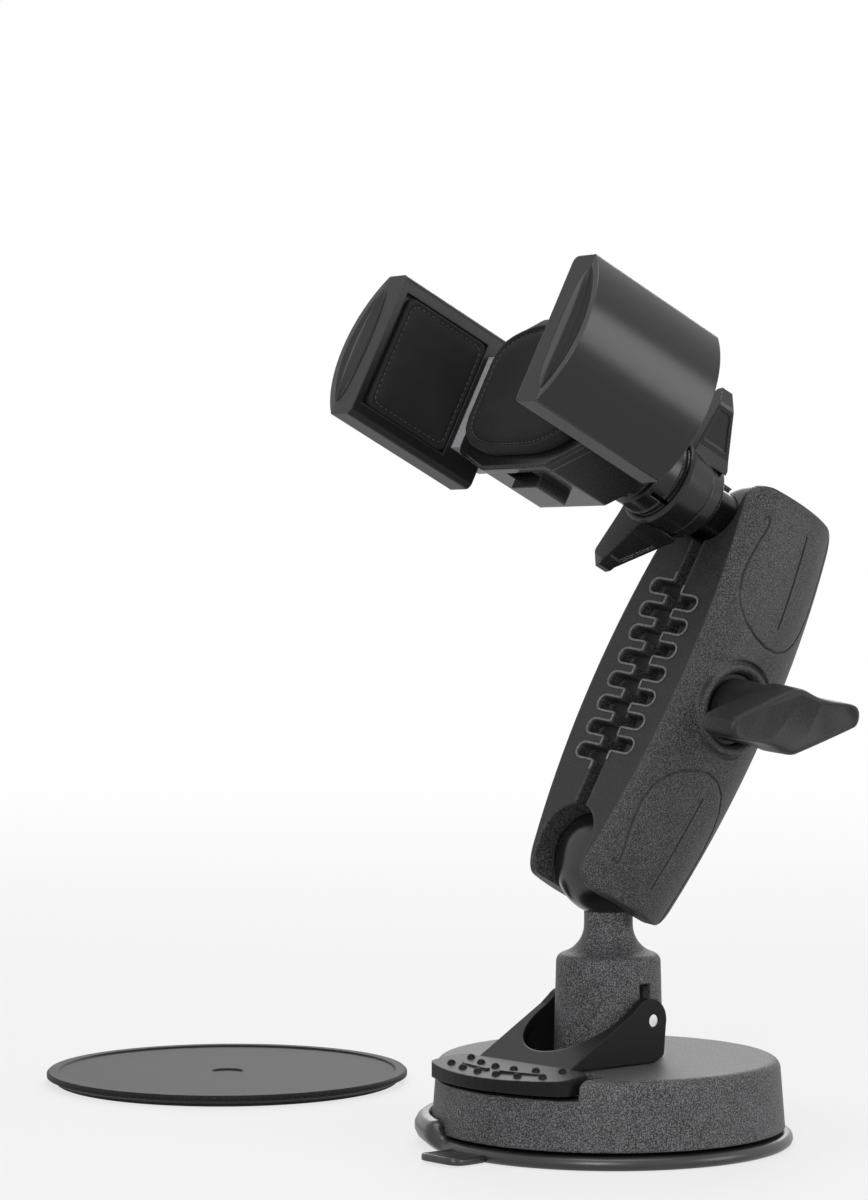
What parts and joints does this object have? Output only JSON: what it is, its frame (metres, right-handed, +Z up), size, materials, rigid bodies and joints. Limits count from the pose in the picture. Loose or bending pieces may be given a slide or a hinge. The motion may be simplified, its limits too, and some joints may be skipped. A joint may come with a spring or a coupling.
{
  "type": "suction cup phone holder",
  "caption": "Phone holder: a lever-locked suction base, a two-ball clamping arm with a wing knob, and a swivelling cradle whose two side grips move together on racks; with a mounting disc.",
  "frame": {"origin": "on the surface, in the middle of the suction cup's underside", "axes": "+Z up, out of the surface; -Y towards the lever's paddle; +X along the lever's pivot pin, towards the knob's side of the arm"},
  "size_m": [0.2305, 0.1141, 0.207],
  "materials": {
    "cup_rubber": "smooth moulded rubber, satin",
    "base_plastic": "fine grained moulded plastic",
    "plunger_plastic": "plain moulded plastic",
    "spring_steel": "bright drawn wire",
    "pin_steel": "bright steel",
    "lever_plastic": "smooth satin moulded plastic",
    "ball_rubber": "smooth rubber with a soft shine",
    "arm_plastic": "fine grained moulded plastic",
    "bolt_steel": "plated steel",
    "knob_plastic": "satin moulded plastic",
    "insert_brass": "turned brass",
    "stem_plastic": "smooth moulded plastic",
    "nut_plastic": "smooth satin plastic",
    "cradle_plastic": "smooth satin plastic",
    "screw_steel": "plated steel",
    "pad_foam": "matte foam rubber",
    "slide_plastic": "light satin plastic",
    "grip_plastic": "smooth satin plastic",
    "cover_plastic": "smooth satin plastic",
    "button_plastic": "smooth satin plastic",
    "disc_plastic": "smooth satin plastic",
    "disc_foam": "dense foam tape"
  },
  "bodies": {
    "base": {"suction_cup": "cup_rubber", "base_cap": "base_plastic", "plunger_spring": "spring_steel"},
    "plunger": {"plunger": "plunger_plastic", "pivot_pin": "pin_steel"},
    "lever": {"lever": "lever_plastic"},
    "lower_ball": {"lower_ball": "ball_rubber"},
    "arm": {"arm_rear": "arm_plastic", "clamp_bolt": "bolt_steel", "clamp_spring": "spring_steel"},
    "front_jaw": {"arm_front": "arm_plastic", "clamp_washer": "bolt_steel"},
    "knob": {"wing_knob": "knob_plastic", "knob_insert": "insert_brass"},
    "upper_ball": {"upper_ball": "ball_rubber"},
    "stem": {"ball_stem": "stem_plastic"},
    "cradle": {"cradle_back": "cradle_plastic", "cradle_front": "cradle_plastic", "cradle_screws": "screw_steel", "middle_pad": "pad_foam"},
    "ring_nut": {"ring_nut": "nut_plastic"},
    "pinion": {"pinion": "slide_plastic"},
    "left_grip": {"left_slide": "slide_plastic", "left_grip": "grip_plastic", "left_cover": "cover_plastic", "left_pad": "pad_foam"},
    "right_grip": {"right_slide": "slide_plastic", "right_grip": "grip_plastic", "right_cover": "cover_plastic", "right_pad": "pad_foam"},
    "release_button": {"release_button": "button_plastic"},
    "mounting_disc": {"mounting_disc": "disc_plastic", "disc_adhesive": "disc_foam"}
  },
  "joints": [
    {"name": "plunger_lift", "type": "slide", "parent": "base", "child": "plunger", "axis": [0, 0, 1], "range_m": [-0.002, 0], "deforming": ["suction_cup", "plunger_spring"]},
    {"name": "lever_turn", "type": "hinge", "parent": "plunger", "child": "lever", "pos_m": [0, 0, 0.0302], "axis": [1, 0, 0], "range_deg": [-60, 0]},
    {"name": "base_swivel", "type": "hinge", "parent": "base", "child": "lower_ball", "pos_m": [0, 0, 0.0661], "axis": [0, 0, 1], "continuous": true},
    {"name": "arm_tilt", "type": "hinge", "parent": "lower_ball", "child": "arm", "pos_m": [0, 0, 0.0661], "axis": [0.9952, -0.0454, -0.0864], "range_deg": [-32, 87]},
    {"name": "clamp_open", "type": "slide", "parent": "arm", "child": "front_jaw", "axis": [0.9952, -0.0454, -0.0864], "range_m": [0, 0.0015]},
    {"name": "knob_turn", "type": "hinge", "parent": "front_jaw", "child": "knob", "pos_m": [0.0042, 0.01989, 0.10399], "axis": [0.9952, -0.0454, -0.0864], "range_deg": [0, 540]},
    {"name": "head_tilt", "type": "hinge", "parent": "arm", "child": "upper_ball", "pos_m": [0.00839, 0.03979, 0.14188], "axis": [0.9952, -0.0454, -0.0864], "range_deg": [-178, 0]},
    {"name": "stem_spin", "type": "hinge", "parent": "upper_ball", "child": "stem", "pos_m": [0.00839, 0.03979, 0.14188], "axis": [-0.1282, -0.8722, 0.4721], "continuous": true},
    {"name": "cradle_tilt", "type": "hinge", "parent": "stem", "child": "cradle", "pos_m": [0.00467, 0.01449, 0.15557], "axis": [0.9913, -0.1272, 0.0342], "range_deg": [-8, 8]},
    {"name": "nut_turn", "type": "hinge", "parent": "cradle", "child": "ring_nut", "pos_m": [0.00467, 0.01449, 0.15557], "axis": [0.1282, 0.8722, -0.4721], "range_deg": [0, 180]},
    {"name": "left_travel", "type": "slide", "parent": "cradle", "child": "left_grip", "axis": [-0.9913, 0.1272, -0.0342], "range_m": [-0.007, 0.011]},
    {"name": "right_travel", "type": "slide", "parent": "cradle", "child": "right_grip", "axis": [0.9913, -0.1272, 0.0342], "range_m": [-0.007, 0.011]},
    {"name": "pinion_turn", "type": "hinge", "parent": "cradle", "child": "pinion", "pos_m": [0.00063, -0.01247, 0.17244], "axis": [-0.1282, -0.8722, 0.4721], "range_deg": [-81, 127]},
    {"name": "button_push", "type": "slide", "parent": "cradle", "child": "release_button", "axis": [0.0302, 0.4724, 0.8809], "range_m": [0, 0.0015], "stiffness_N_per_m": 250, "springref_m": -0.001},
    {"name": "disc_lift", "type": "slide", "parent": "base", "child": "mounting_disc", "axis": [0, 0, 1], "range_m": [0, 0.05]}
  ],
  "couplings": [
    {"joint": "plunger_lift", "follows": "lever_turn", "m_per_rad": 0.0019099},
    {"joint": "knob_turn", "follows": "clamp_open", "rad_per_m": 6283.2},
    {"joint": "right_travel", "follows": "left_travel", "ratio": 1},
    {"joint": "pinion_turn", "follows": "left_travel", "rad_per_m": 200}
  ]
}
